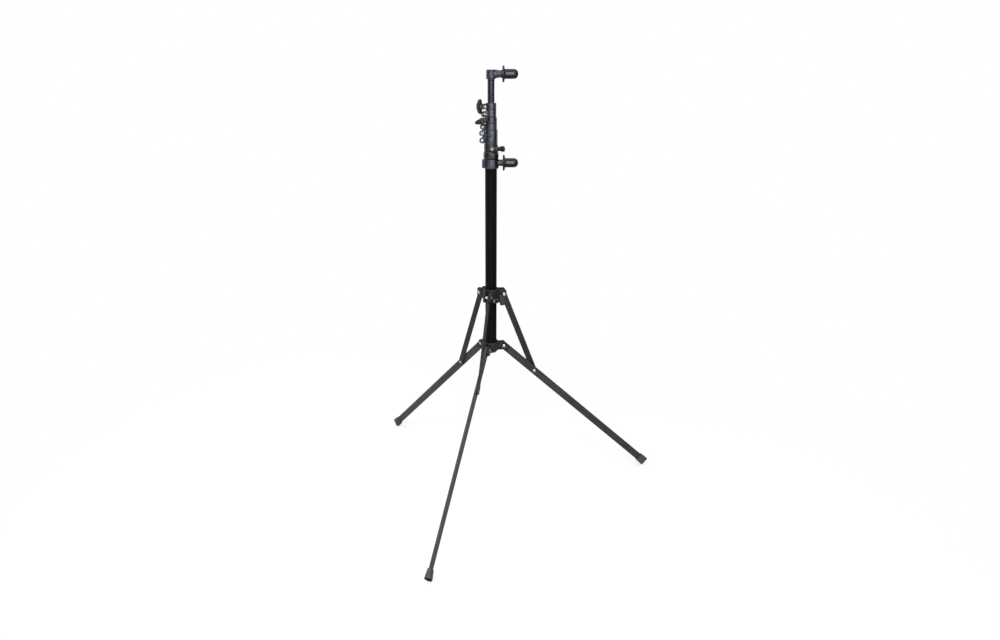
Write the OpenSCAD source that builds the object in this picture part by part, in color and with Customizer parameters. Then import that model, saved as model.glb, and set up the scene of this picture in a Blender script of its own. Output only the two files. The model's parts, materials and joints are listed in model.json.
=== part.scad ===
// Reverse-folding stand: three legs, five telescoping tubes, four clamp collars and two pegs.
// Frame: millimetres, Z up, the floor at z = 0, the column on the Z axis, the pegs along +X.

/* [Tubes] */
// Outside diameter of the outer tube
outer_tube_od = 24; // [22:0.5:28]
// Wall of every tube
tube_wall = 0.8; // [0.6:0.1:1]
// Radial gap between one tube and the next
tube_gap = 0.5; // [0.4:0.05:0.7]
// Length of the outer tube
outer_tube_len = 424.6; // [380:1:480]
// Height of the thinnest tube that shows above the top clamp
top_tube_show = 44.7; // [40:0.1:60]
// How far the thinnest tube stands above its lowest position
top_tube_lift = 25; // [20:1:40]

/* [Guide sleeves and base plug] */
// Length of the plastic sleeve at the foot of each inner tube
sleeve_len = 15; // [10:1:25]
// Thickness of the sleeve's rim under the tube
sleeve_rim = 1.5; // [1:0.1:2.5]
// Height of the plug inside the outer tube
plug_len = 6; // [4:0.5:10]
// Thickness of the plug's rim under the outer tube
plug_rim = 2; // [1:0.5:4]

/* [Clamp collars] */
// Height of clamp 1, round tube 1
clamp_1_h = 26.5; // [25:0.5:32]
// Height of clamp 2, round tube 2
clamp_2_h = 24.2; // [24.2:0.5:32]
// Height of clamp 3, round tube 3
clamp_3_h = 25.7; // [25:0.5:32]
// Height of clamp 4, round tube 4
clamp_4_h = 30.3; // [26:0.5:34]
// Height of the split half that grips the moving tube
grip_h = 12.6; // [12:0.1:13]
// Height of clamp 4's split half, which is the tallest
grip_4_h = 15.4; // [14.8:0.1:16]
// Wall of the fixed half round its tube
clamp_wall = 2.3; // [2:0.1:3]
// Wall of clamp 4's fixed half, which is the heaviest
clamp_4_wall = 3.3; // [3:0.1:4]
// Lip over the end of the tube that carries the clamp
clamp_lip = 1.5; // [1:0.1:2]
// Width of the saw cuts in the collars
slit_w = 1; // [0.8:0.1:1.4]
// Height of the level saw cut above the fixed half
slit_rise = 0.4; // [0.3:0.1:0.8]
// Part of the collar's radius that the level saw cut leaves as a bridge
bridge_share = 0.4; // [0.3:0.05:0.6]

/* [Clamp lugs] */
// Radius of a lug round its bolt
lug_r = 5.7; // [5:0.1:5.8]
// Half the thickness of a grip lug
grip_lug_half = 4; // [3.5:0.1:4.5]
// Half the thickness of a fixing lug
fixing_lug_half = 3.6; // [3:0.1:4]
// Reach of the fixing bolt beyond the collar's wall
fixing_reach = 4.6; // [4:0.1:5.5]
// Depth of the grip bolt below the collar's top
grip_bolt_drop = 6.5; // [6.2:0.1:7]
// Depth of clamp 4's grip bolt below the collar's top
grip_4_bolt_drop = 9.3; // [8.8:0.1:9.7]
// Height of the fixing bolt above the collar's foot
fixing_bolt_rise = 5.9; // [5.9:0.1:6.2]
// Distance of clamp 1's grip bolt from the column's axis
grip_1_r = 18.5; // [18:0.1:20]
// Distance of clamp 2's grip bolt from the column's axis
grip_2_r = 18; // [18:0.1:20]
// Distance of clamp 3's grip bolt from the column's axis
grip_3_r = 17.8; // [17.6:0.1:20]
// Distance of clamp 4's grip bolt from the column's axis
grip_4_r = 20; // [20:0.1:22]
// Direction of clamp 1's grip lug
grip_1_az = 220; // [215:1:225]
// Direction of clamp 2's grip lug
grip_2_az = 180; // [176:1:184]
// Direction of clamp 3's grip lug
grip_3_az = 165; // [160:1:170]
// Direction of clamp 4's grip lug
grip_4_az = -70; // [-75:1:-65]
// Direction of clamp 1's fixing lug
fixing_1_az = 209; // [204:1:210]
// Direction of the fixing lugs of clamps 2 and 3
fixing_az = 180; // [176:1:184]
// Direction of clamp 4's flush fixing screw, at the back
fixing_4_az = 110; // [100:1:120]

/* [Clamp screws and knobs] */
// Radius of a knob's steel stud
stud_r = 2; // [1.5:0.1:2.5]
// Radius of a fixing screw
fixing_screw_r = 1.5; // [1.2:0.1:1.8]
// Radius of clamp 4's flush fixing screw
flush_screw_r = 2; // [1.5:0.1:2.5]
// Radius of a fixing screw's head
fixing_head_r = 2.8; // [2.5:0.1:3.2]
// Height of a fixing screw's head
fixing_head_h = 1.6; // [1:0.1:2]
// Thickness of a fixing screw's nut
fixing_nut_h = 2; // [1.5:0.1:2.4]
// Radius of the washer face of a dome nut
nut_face_r = 3.9; // [3.7:0.1:5]
// Thickness of the washer face
nut_face_h = 0.8; // [0.6:0.1:1]
// Corner radius of the hexagon of a dome nut
nut_hex_r = 3.6; // [3.5:0.1:4.4]
// Height of the hexagon of a dome nut
nut_hex_h = 1.6; // [1:0.1:2]
// Height of the dome of a dome nut
nut_dome_h = 1.6; // [1:0.1:2]
// Radius of a knob's hub at the lug
hub_r = 4.6; // [4:0.1:5]
// Length of the hub, from the lug to the wing
hub_len = 10; // [9.8:0.1:11]
// Length of the shorter hub on the highest clamp
hub_1_len = 7; // [6.8:0.1:10]
// Radius of the circle that the wing's tips turn in
wing_r = 14.5; // [13:0.1:14.6]
// Width of the wing at its middle
wing_w = 11; // [9:0.5:12]
// Height of the wing at its middle
wing_h = 6.7; // [5:0.1:8]
// How far the wing's tips are swept back
wing_sweep = 3.6; // [2:0.1:4]
// Radius of the wing's curved edges
wing_edge_r = 30; // [26:0.5:34]
// Length of the leg collar knob's hub, from the lug to the wing
collar_hub_len = 4; // [3.6:0.1:5]
// Radius of the circle that the leg collar knob's wing tips turn in
collar_wing_r = 12.8; // [11:0.1:13.2]
// Height of the leg collar knob's wing at its middle
collar_wing_h = 12; // [9:0.5:13]
// Turn of knob 1's wing
wing_1_turn = 90; // [0:5:180]
// Turn of knob 2's wing
wing_2_turn = 15; // [0:5:180]
// Turn of knob 3's wing
wing_3_turn = 90; // [0:5:180]
// Turn of knob 4's wing
wing_4_turn = 0; // [0:5:180]
// Turn of the leg collar knob's wing
collar_wing_turn = 40; // [0:5:180]

/* [Legs] */
// Direction of the right leg; the others stand a third of a turn apart
leg_az = 12; // [0:1:30]
// Length of a leg from its hinge to the end of its foot
leg_len = 483; // [440:1:520]
// Slope of the legs below level
leg_slope = 43.1; // [38:0.1:48]
// Distance of the leg hinges from the column's axis
hinge_r = 27.5; // [27:0.1:30]
// Width of a leg
leg_w = 4.6; // [4.2:0.1:5.2]
// Height of a leg
leg_h = 16; // [14:0.5:17]
// Wall of a leg
leg_wall = 1.2; // [0.9:0.1:1.4]
// Radius of a leg's long edges
leg_edge_r = 1; // [0.6:0.1:1.4]
// Length of the solid end round the hinge
leg_solid = 12; // [9:1:16]
// Radius of a leg hinge rivet
hinge_rivet_r = 2.5; // [2:0.1:2.8]

/* [Feet] */
// Length of a foot cap
foot_len = 21; // [18:1:28]
// Height of a foot cap at its end
foot_end_h = 19.6; // [18.6:0.1:22]
// Width of a foot cap at its end
foot_end_w = 11; // [9:0.5:13]
// Rubber round the leg at the cap's mouth
foot_wall = 1.3; // [1.1:0.1:1.8]
// Rubber beyond the end of the leg
foot_sole = 4; // [3:0.5:6]
// Depth of the flat worn off the cap's lower edge
sole_cut = 1.2; // [1:0.1:2]

/* [Struts] */
// Distance from the leg's hinge to the strut's joint
joint_reach = 97.7; // [90:1:110]
// Rise from the leg hinges to the strut hinges
collar_rise = 117.4; // [110:1:130]
// Thickness of a strut
strut_t = 3; // [2:0.1:3]
// Width of a strut
strut_w = 13; // [11:0.5:13.5]
// Radius of a strut rivet
strut_rivet_r = 2; // [1.6:0.1:2.2]
// Radius of every rivet's head
rivet_head_r = 3.5; // [3:0.1:3.5]
// Height of every rivet's head
rivet_head_h = 1.1; // [0.8:0.1:1.2]
// Radius of the spacer sleeve on a strut rivet
spacer_r = 3.4; // [3:0.1:3.8]

/* [Base collar and leg collar] */
// Outside radius of both collars
ring_r = 16.5; // [16:0.1:17]
// Height of the base collar
base_h = 21.5; // [20:0.5:26]
// Drop from the leg hinges to the foot of the base collar
base_drop = 10.5; // [9:0.5:12]
// Bevel round the foot of the base collar
base_bevel = 3; // [1:0.5:3.5]
// Height of the leg collar
collar_h = 25.3; // [24:0.5:30]
// Drop from the strut hinges to the foot of the leg collar
collar_drop = 12; // [11.5:0.5:14]
// Reach of a fork beyond its hinge
fork_reach = 5; // [4.5:0.1:6]
// Rise of a base collar fork above its hinge
base_fork_rise = 8.5; // [7:0.1:10]
// Drop of a base collar fork below its hinge
base_fork_drop = 8; // [7:0.1:9.5]
// Reach of a base collar fork beside its leg, beyond the hinge
ear_tip_reach = 13; // [10:0.5:16]
// Height of the ear beside the leg
ear_tip_h = 12; // [10:0.5:14]
// Rise of a leg collar fork above its hinge
collar_fork_rise = 11; // [9:0.1:12]
// Drop of a leg collar fork below its hinge
collar_fork_drop = 10.5; // [9:0.1:11]
// Radius of a fork's corners
fork_corner_r = 4.5; // [3:0.1:5]
// Thickness of a fork's thinner ear
ear_t = 4.7; // [3.5:0.1:5]
// Gap beside a moving bar in its fork
fork_gap = 0.3; // [0.2:0.05:0.5]
// Distance from the ring to the floor of a fork's slot
slot_floor = 0.8; // [0.5:0.1:1.5]
// Distance of the leg collar's clamp bolt from the column's axis
collar_bolt_r = 29; // [29:0.5:31]
// Drop of the leg collar's clamp bolt below the strut hinges
collar_bolt_drop = 6; // [5:0.5:6]
// Direction of the leg collar's clamp lug
collar_lug_az = -70; // [-72:1:-66]
// Height of the hexagon of the leg collar's dome nut
low_nut_hex_h = 0.6; // [0.5:0.1:0.8]
// Height of the dome of the leg collar's dome nut
low_nut_dome_h = 0.8; // [0.7:0.1:1]

/* [Pegs] */
// Outside radius of the lower peg's collar
peg_collar_r = 15.2; // [14.5:0.1:16]
// Height of the lower peg's collar
peg_collar_h = 17.6; // [16:0.1:20]
// Reach of the collar's neck from the column's axis
peg_neck_reach = 23.8; // [22:0.1:26]
// Radius of the collar's neck
peg_neck_r = 6.4; // [5:0.1:7]
// Radius of a peg
peg_r = 9.1; // [8:0.1:10]
// Length of a peg with its flange
peg_len = 30.7; // [26:0.1:36]
// Radius of a peg's flange
flange_r = 16.2; // [14:0.1:16.4]
// Thickness of the flange at its rim
flange_rim = 3; // [2:0.1:3.6]
// Thickness of the flange at the peg
flange_root = 4.8; // [4:0.1:6]
// Bevel between the flange and the peg
flange_bevel = 1; // [0.5:0.1:1.5]
// Radius of the peg's round end
peg_end_r = 8; // [5:0.1:8]
// Radius of the core screw that holds a peg
core_r = 3; // [2:0.1:3.5]
// Depth of the core screw in the peg
core_depth = 22; // [15:1:24]
// Reach of the peg collar's split lug from the axis
peg_lug_reach = 18; // [17.5:0.1:20]
// Metal in front of the peg collar's screw
peg_screw_floor = 2; // [1.5:0.1:3]
// Height of the peg collar's split lug
peg_lug_h = 15; // [12:0.5:16]
// Rise of the lower peg's axis above the middle of its collar
low_peg_rise = 1.6; // [0:0.1:1.8]
// Metal between the outer tube and the lower core screw
core_floor = 2; // [1.5:0.1:3]

/* [Top adapter] */
// Radius of the adapter's upright barrel
barrel_r = 9.4; // [8.6:0.1:10.5]
// Height of the barrel
barrel_h = 17.5; // [16:0.5:22]
// Bevel round both ends of the barrel
barrel_bevel = 1.2; // [0.5:0.1:2]
// Depth of the barrel's socket for the thinnest tube
socket_depth = 13; // [10:0.5:14]
// Height of the upper peg's axis above the foot of the barrel
top_peg_rise = 9.5; // [9:0.1:10]
// Reach of the adapter's stub beyond its barrel
stub_len = 2.1; // [1.5:0.1:4]
// Radius of the stub
stub_r = 7.6; // [6.5:0.1:7.7]
// Length of the waisted spool between the stub and the peg
spool_len = 10.7; // [8:0.1:12]
// Radius of the spool's ends
spool_r = 7.6; // [7:0.1:8.2]
// Radius of the spool's waist
spool_waist_r = 6.6; // [5.5:0.1:6.9]
// Radius of the set screw
set_screw_r = 2; // [1.5:0.1:2.5]

/* [Fits] */
// Radial clearance of a turning or sliding fit
run_fit = 0.05; // [0.03:0.01:0.08]
// Radial clearance of a fixed fit
seat_fit = 0.02; // [0.01:0.01:0.03]
// Gap between faces that pass each other
face_gap = 0.3; // [0.2:0.05:0.4]

/* [Hidden] */
$fn = 64;

// Colours
black_paint = [0.06, 0.06, 0.065];
grey_casting = [0.27, 0.28, 0.32];
leg_paint = [0.2, 0.2, 0.21];
black_plastic = [0.05, 0.05, 0.05];
rubber = [0.16, 0.16, 0.17];
steel = [0.8, 0.8, 0.8];

// Tubes: 5 is the outer tube, 1 the thinnest
function tube_r(i) = outer_tube_od/2 - (5 - i)*(tube_wall + tube_gap);
function tube_bore(i) = tube_r(i) - tube_wall;

// Legs
leg_azimuths = [leg_az, leg_az + 120, leg_az + 240];
foot_z = foot_end_h/2*cos(leg_slope) - sole_cut;
hinge_z = foot_z + leg_len*sin(leg_slope);
joint_x = hinge_r + joint_reach*cos(leg_slope);
joint_z = hinge_z - joint_reach*sin(leg_slope);
strut_z = hinge_z + collar_rise;
strut_side = leg_w/2 + fork_gap;
strut_outside = strut_side + strut_t;
base_fork = [-strut_side - ear_t, strut_side + ear_t];
collar_fork = [-strut_side - ear_t, strut_outside + fork_gap + ear_t];

// Heights on the column, from the base collar up
base_z = hinge_z - base_drop;
nest_z = base_z + plug_len + face_gap;
clamp_h = [0, clamp_1_h, clamp_2_h, clamp_3_h, clamp_4_h];
grip_hs = [0, grip_h, grip_h, grip_h, grip_4_h];
grip_drops = [0, grip_bolt_drop, grip_bolt_drop, grip_bolt_drop, grip_4_bolt_drop];
function fixed_h(i) = clamp_h[i] - grip_hs[i];
function grip_bolt_z(i) = clamp_z(i) + clamp_h[i] - grip_drops[i];
// The stack of collars stands on the end of the outer tube; each collar rests on the next
clamp_4_z = base_z + outer_tube_len - fixed_h(4) + clamp_lip;
function clamp_z(i) = i == 4 ? clamp_4_z : clamp_z(i + 1) + clamp_h[i + 1] + face_gap;
function tube_top(i) = clamp_z(i - 1) + fixed_h(i - 1) - clamp_lip;
adapter_z = clamp_z(1) + clamp_h[1] + top_tube_show;
top_peg_z = adapter_z + top_peg_rise;
peg_collar_z = clamp_4_z - face_gap - peg_collar_h;
low_peg_z = peg_collar_z + peg_collar_h/2 + low_peg_rise;
// The lug is wide enough for a screw head beside the collar's round wall
peg_lug_half = sqrt(peg_collar_r*peg_collar_r - pow(peg_collar_r - fixing_head_r, 2)) + face_gap;

// Clamp radii
function fixed_r(i) = i == 4 ? tube_r(5) + clamp_4_wall : tube_r(i + 1) + clamp_wall;
function grip_r(i) = i == 4 ? tube_r(4) + clamp_4_wall : fixed_r(i);
grip_bolt_rs = [0, grip_1_r, grip_2_r, grip_3_r, grip_4_r];
grip_azs = [0, grip_1_az, grip_2_az, grip_3_az, grip_4_az];
fixing_azs = [0, fixing_1_az, fixing_az, fixing_az, fixing_4_az];
// The side of the lug that the knob is on: 1 is anticlockwise seen from above
knob_sides = [0, -1, 1, -1, 1];
wing_turns = [0, wing_1_turn, wing_2_turn, wing_3_turn, wing_4_turn];
hub_lens = [0, hub_1_len, hub_len, hub_len, hub_len];
function fixing_bolt_r(i) = fixed_r(i) + fixing_reach;

// The end radius of the cone under the hub
hub_neck_r = 3.6;
// Depth of a stud in its hub
stud_depth = 7;
// A pin runs this far into its head
head_bite = 0.3;
// The stud stops short of the end of its dome nut
nut_cap = 1.4;
// Direction that the set screw faces in the adapter's barrel
set_screw_az = 135;
// A fork's outline starts inside the ring's wall
fork_root = tube_r(5) + run_fit + 1;

// ---------- helpers ----------

// Extrudes a shape drawn in radius and height from tangent t0 to tangent t1
module slab(t0, t1) {
    translate([0, t1, 0]) rotate([90, 0, 0]) linear_extrude(t1 - t0) children();
}

// A pin along the tangent at radius x and height z
module pin(x, z, t0, t1, r) {
    slab(t0, t1) translate([x, z]) circle(r);
}

// A low dome on the plane z = 0
module dome(r, h) {
    ball = (r*r + h*h)/(2*h);
    intersection() {
        translate([0, 0, h - ball]) sphere(ball);
        cylinder(r = r, h = h);
    }
}

// A dome head on a tangent face: side 1 looks along +t, side -1 along -t
module tangent_head(x, z, t, side) {
    translate([x, t, z]) rotate([-90*side, 0, 0]) dome(rivet_head_r, rivet_head_h);
}

// A rectangle with round corners, from its lower left corner
module round_rect(w, h, r) {
    translate([r, 0]) square([w - 2*r, h]);
    translate([0, r]) square([w, h - 2*r]);
    for (x = [r, w - r], y = [r, h - r]) translate([x, y]) circle(r);
}

// Puts its children in the frame of a bolt: z runs out of the knob's side of the lug
module bolt_frame(az, r, z, side) {
    rotate([0, 0, az]) translate([r, 0, z]) rotate([-90*side, 0, 0]) children();
}

module ring(r_out, r_in, h) {
    difference() {
        cylinder(r = r_out, h = h);
        translate([0, 0, -1]) cylinder(r = r_in, h = h + 2);
    }
}

// ---------- column ----------

module tube(i, z0, z1) {
    translate([0, 0, z0]) ring(tube_r(i), tube_bore(i), z1 - z0);
}

// The sleeve's rim closes the tube's end, and its skirt runs in the bore of the next tube
module guide_sleeve(i, z0) {
    translate([0, 0, z0]) difference() {
        cylinder(r = tube_bore(i + 1) - run_fit, h = sleeve_len);
        translate([0, 0, sleeve_rim]) cylinder(r = tube_r(i) + seat_fit, h = sleeve_len);
        translate([0, 0, -1]) cylinder(r = tube_bore(i), h = sleeve_len);
    }
}

module outer_tube() {
    color(black_paint) tube(5, base_z, tube_top(5));
}

module base_plug() {
    color(black_plastic) translate([0, 0, base_z]) {
        translate([0, 0, -plug_rim]) cylinder(r = tube_r(5), h = plug_rim);
        cylinder(r = tube_bore(5) - seat_fit, h = plug_len);
    }
}

module tube_4() {
    color(black_paint) tube(4, nest_z + sleeve_rim, tube_top(4));
}

module tube_3() {
    color(black_paint) tube(3, nest_z + sleeve_rim, tube_top(3));
}

module tube_2() {
    color(black_paint) tube(2, nest_z + sleeve_rim, tube_top(2));
}

// The thinnest tube ends in the adapter's socket
module tube_1() {
    color(grey_casting)
        tube(1, nest_z + top_tube_lift + sleeve_rim, adapter_z + socket_depth - face_gap);
}

module guide_sleeve_4() {
    color(black_plastic) guide_sleeve(4, nest_z);
}

module guide_sleeve_3() {
    color(black_plastic) guide_sleeve(3, nest_z);
}

module guide_sleeve_2() {
    color(black_plastic) guide_sleeve(2, nest_z);
}

module guide_sleeve_1() {
    color(black_plastic) guide_sleeve(1, nest_z + top_tube_lift);
}

// ---------- clamp collars ----------

module lug(az, r, z, half) {
    rotate([0, 0, az]) slab(-half, half) {
        translate([r, z]) circle(lug_r);
        translate([r/2, z - lug_r]) square([r/2, 2*lug_r]);
    }
}

// A saw cut from the bore out through the wall and the lug at one side
module saw_cut(az, r, z0, z1) {
    rotate([0, 0, az]) translate([0, -slit_w/2, z0]) cube([r + 2*lug_r, slit_w, z1 - z0]);
}

// The lower half is fixed to the tube that carries it, by a lug or, on clamp 4, by a flush screw.
// The split upper half grips the inner tube.
module clamp_body(i) {
    h = clamp_h[i];
    split_z = fixed_h(i);
    grip_z = h - grip_drops[i];
    color(grey_casting) translate([0, 0, clamp_z(i)]) difference() {
        union() {
            cylinder(r = fixed_r(i), h = split_z);
            translate([0, 0, split_z]) cylinder(r = grip_r(i), h = grip_hs[i]);
            lug(grip_azs[i], grip_bolt_rs[i], grip_z, grip_lug_half);
            if (i < 4) lug(fixing_azs[i], fixing_bolt_r(i), fixing_bolt_rise, fixing_lug_half);
        }
        translate([0, 0, -1]) cylinder(r = tube_r(i + 1) + seat_fit, h = split_z - clamp_lip + 1);
        translate([0, 0, -1]) cylinder(r = tube_r(i) + run_fit, h = h + 2);
        saw_cut(grip_azs[i], grip_bolt_rs[i], split_z + slit_rise + slit_w/2, h + 1);
        rotate([0, 0, grip_azs[i]])
            translate([-bridge_share*grip_r(i), -grip_bolt_rs[i], split_z + slit_rise])
                cube([2*grip_bolt_rs[i] + lug_r, 2*grip_bolt_rs[i], slit_w]);
        rotate([0, 0, grip_azs[i]])
            pin(grip_bolt_rs[i], grip_z, -2*grip_lug_half, 2*grip_lug_half, stud_r + run_fit);
        if (i < 4) {
            saw_cut(fixing_azs[i], fixing_bolt_r(i), -1, split_z - clamp_lip/2);
            rotate([0, 0, fixing_azs[i]])
                pin(fixing_bolt_r(i), fixing_bolt_rise, -2*fixing_lug_half, 2*fixing_lug_half,
                    fixing_screw_r + seat_fit);
        } else {
            rotate([0, 0, fixing_azs[i]]) translate([0, 0, split_z/2]) rotate([0, 90, 0])
                cylinder(r = flush_screw_r + seat_fit, h = 2*fixed_r(i));
        }
    }
}

// A pan-head screw through the fixing lug, with a hexagon nut on its far side
module fixing_screw(i) {
    color(steel) bolt_frame(fixing_azs[i], fixing_bolt_r(i), clamp_z(i) + fixing_bolt_rise, 1) {
        translate([0, 0, fixing_lug_half]) dome(fixing_head_r, fixing_head_h);
        translate([0, 0, -fixing_lug_half - fixing_nut_h])
            cylinder(r = fixing_screw_r, h = 2*fixing_lug_half + fixing_nut_h + head_bite);
        translate([0, 0, -fixing_lug_half - fixing_nut_h])
            difference() {
                cylinder(r = fixing_head_r, h = fixing_nut_h, $fn = 6);
                translate([0, 0, -1])
                    cylinder(r = fixing_screw_r + seat_fit, h = fixing_nut_h + 2);
            }
    }
}

// A headless screw in clamp 4's wall, flush with it and just clear of the tube
module flush_screw() {
    color(steel) translate([0, 0, clamp_z(4) + fixed_h(4)/2]) rotate([0, 0, fixing_azs[4]])
        intersection() {
            translate([tube_r(5) + seat_fit, 0, 0]) rotate([0, 90, 0])
                cylinder(r = flush_screw_r, h = clamp_4_wall);
            cylinder(r = fixed_r(4), h = 4*flush_screw_r, center = true);
        }
}

// A dome nut with a washer face, in the frame of its bolt, on the face that looks along -z
module dome_nut(face_r, hex_r, hex_h, dome_h) {
    rotate([180, 0, 0]) translate([0, 0, grip_lug_half]) difference() {
        union() {
            cylinder(r = face_r, h = nut_face_h);
            cylinder(r = hex_r, h = nut_face_h + hex_h, $fn = 6);
            translate([0, 0, nut_face_h + hex_h]) dome(hex_r*cos(30), dome_h);
        }
        translate([0, 0, -1])
            cylinder(r = stud_r + run_fit, h = 1 + nut_face_h + hex_h + dome_h - nut_cap + face_gap);
    }
}

module clamp_nut(i) {
    color(steel)
        bolt_frame(grip_azs[i], grip_bolt_rs[i], grip_bolt_z(i), knob_sides[i])
            dome_nut(nut_face_r, nut_hex_r, nut_hex_h, nut_dome_h);
}

// The stud runs from inside the dome nut to inside the knob's hub
module stud(nut_reach) {
    translate([0, 0, -grip_lug_half - nut_reach])
        cylinder(r = stud_r, h = 2*grip_lug_half + nut_reach + face_gap + stud_depth);
}

// A T-knob: a tapered hub and a wing with its tips swept back towards the lug
module knob(turn, neck, reach, thick) {
    wing_z = neck + thick;
    sweep_r = (reach*reach + wing_sweep*wing_sweep)/(2*wing_sweep);
    lens_shift = wing_edge_r - wing_w/2;
    translate([0, 0, grip_lug_half + face_gap]) rotate([0, 0, turn]) difference() {
        union() {
            cylinder(r1 = hub_r, r2 = hub_neck_r, h = neck + 1);
            intersection() {
                translate([0, 0, neck - face_gap]) linear_extrude(thick) intersection() {
                    translate([0, lens_shift]) circle(wing_edge_r);
                    translate([0, -lens_shift]) circle(wing_edge_r);
                    circle(reach);
                }
                translate([0, 2*wing_w, wing_z - face_gap - sweep_r]) rotate([90, 0, 0])
                    cylinder(r = sweep_r, h = 4*wing_w);
            }
        }
        translate([0, 0, -1]) cylinder(r = stud_r + seat_fit, h = 1 + stud_depth);
    }
}

module clamp_knob(i) {
    color(black_plastic)
        bolt_frame(grip_azs[i], grip_bolt_rs[i], grip_bolt_z(i), knob_sides[i])
            knob(wing_turns[i], hub_lens[i], wing_r, wing_h);
}

module clamp_stud(i) {
    color(steel)
        bolt_frame(grip_azs[i], grip_bolt_rs[i], grip_bolt_z(i), knob_sides[i])
            stud(nut_face_h + nut_hex_h + nut_dome_h - nut_cap);
}

// ---------- base collar and leg collar ----------

// A fork's outline in radius and height, from height z0 to z1
module fork_outline(z0, z1) {
    translate([fork_root, z0]) round_rect(hinge_r + fork_reach - fork_root, z1 - z0, fork_corner_r);
}

// Cuts the slot of a fork from tangent t0 to t1, well beyond its ears
module fork_slot(pivot_z, t0, t1) {
    translate([ring_r + slot_floor, t0, pivot_z - hinge_r]) cube([2*hinge_r, t1 - t0, 2*hinge_r]);
}

// Fixed at the foot of the outer tube; its three forks hold the legs
module base_collar() {
    color(grey_casting) difference() {
        union() {
            translate([0, 0, base_z + base_bevel]) cylinder(r = ring_r, h = base_h - base_bevel);
            translate([0, 0, base_z])
                cylinder(r1 = ring_r - base_bevel, r2 = ring_r, h = base_bevel);
            for (a = leg_azimuths) rotate([0, 0, a]) slab(base_fork[0], base_fork[1]) {
                fork_outline(hinge_z - base_fork_drop, hinge_z + base_fork_rise);
                translate([hinge_r, hinge_z]) rotate([0, 0, -leg_slope]) translate([0, -ear_tip_h/2])
                    round_rect(ear_tip_reach, ear_tip_h, fork_corner_r);
            }
        }
        translate([0, 0, base_z - 1]) cylinder(r = tube_r(5) + seat_fit, h = base_h + 2);
        for (a = leg_azimuths) rotate([0, 0, a]) {
            fork_slot(hinge_z, -strut_side, strut_side);
            pin(hinge_r, hinge_z, base_fork[0] - 1, base_fork[1] + 1, hinge_rivet_r + seat_fit);
        }
    }
}

module leg_hinge_rivets() {
    color(steel) for (a = leg_azimuths) rotate([0, 0, a]) {
        pin(hinge_r, hinge_z, base_fork[0] - head_bite, base_fork[1] + head_bite, hinge_rivet_r);
        tangent_head(hinge_r, hinge_z, base_fork[0], -1);
        tangent_head(hinge_r, hinge_z, base_fork[1], 1);
    }
}

// Slides on the outer tube; its forks hold the struts and a split lug clamps it
module leg_collar() {
    foot_z = strut_z - collar_drop;
    bolt_z = strut_z - collar_bolt_drop;
    color(grey_casting) difference() {
        union() {
            translate([0, 0, foot_z]) cylinder(r = ring_r, h = collar_h);
            for (a = leg_azimuths) rotate([0, 0, a]) slab(collar_fork[0], collar_fork[1])
                fork_outline(strut_z - collar_fork_drop, strut_z + collar_fork_rise);
            lug(collar_lug_az, collar_bolt_r, bolt_z, grip_lug_half);
        }
        translate([0, 0, foot_z - 1]) cylinder(r = tube_r(5) + run_fit, h = collar_h + 2);
        for (a = leg_azimuths) rotate([0, 0, a]) {
            fork_slot(strut_z, -strut_side, strut_outside + fork_gap);
            pin(hinge_r, strut_z, collar_fork[0] - 1, collar_fork[1] + 1, strut_rivet_r + seat_fit);
        }
        saw_cut(collar_lug_az, collar_bolt_r, foot_z - 1, foot_z + collar_h + 1);
        rotate([0, 0, collar_lug_az])
            pin(collar_bolt_r, bolt_z, -2*grip_lug_half, 2*grip_lug_half, stud_r + run_fit);
    }
}

module leg_collar_nut() {
    color(steel)
        bolt_frame(collar_lug_az, collar_bolt_r, strut_z - collar_bolt_drop, 1)
            dome_nut(rivet_head_r, rivet_head_r, low_nut_hex_h, low_nut_dome_h);
}

module leg_collar_knob() {
    color(black_plastic)
        bolt_frame(collar_lug_az, collar_bolt_r, strut_z - collar_bolt_drop, 1)
            knob(collar_wing_turn, collar_hub_len, collar_wing_r, collar_wing_h);
}

module leg_collar_stud() {
    color(steel)
        bolt_frame(collar_lug_az, collar_bolt_r, strut_z - collar_bolt_drop, 1)
            stud(nut_face_h + low_nut_hex_h + low_nut_dome_h - nut_cap);
}

// Each rivet is in two lengths: one carries the spacer, the other closes the far ear
module strut_top_rivets() {
    color(steel) for (a = leg_azimuths) rotate([0, 0, a]) {
        pin(hinge_r, strut_z, collar_fork[0] - head_bite, leg_w/2, strut_rivet_r);
        tangent_head(hinge_r, strut_z, collar_fork[0], -1);
        pin(hinge_r, strut_z, collar_fork[1] - ear_t, collar_fork[1] + head_bite, strut_rivet_r);
        tangent_head(hinge_r, strut_z, collar_fork[1], 1);
    }
}

module strut_spacers() {
    color(steel) for (a = leg_azimuths) rotate([0, 0, a])
        slab(-strut_side, leg_w/2) translate([hinge_r, strut_z]) difference() {
            circle(spacer_r);
            circle(strut_rivet_r + seat_fit);
        }
}

// ---------- legs ----------

// Puts its children in a leg's frame: x runs down the leg from its hinge
module leg_frame(k) {
    rotate([0, 0, leg_azimuths[k]]) translate([hinge_r, 0, hinge_z]) rotate([0, leg_slope, 0])
        children();
}

module leg_bar(x0, x1, w, h, r) {
    translate([x0, -w/2, h/2]) rotate([0, 90, 0]) linear_extrude(x1 - x0) round_rect(h, w, r);
}

// A rectangular tube with a solid round end at the hinge
module leg(k) {
    bar_len = leg_len - foot_sole;
    color(leg_paint) leg_frame(k) difference() {
        union() {
            slab(-leg_w/2, leg_w/2) circle(leg_h/2);
            leg_bar(0, bar_len, leg_w, leg_h, leg_edge_r);
        }
        leg_bar(leg_solid, bar_len + 1, leg_w - 2*leg_wall, leg_h - 2*leg_wall, leg_edge_r/2);
        pin(0, 0, -leg_w, leg_w, hinge_rivet_r + run_fit);
        pin(joint_reach, 0, -leg_w, leg_w, strut_rivet_r + seat_fit);
    }
}

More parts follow.
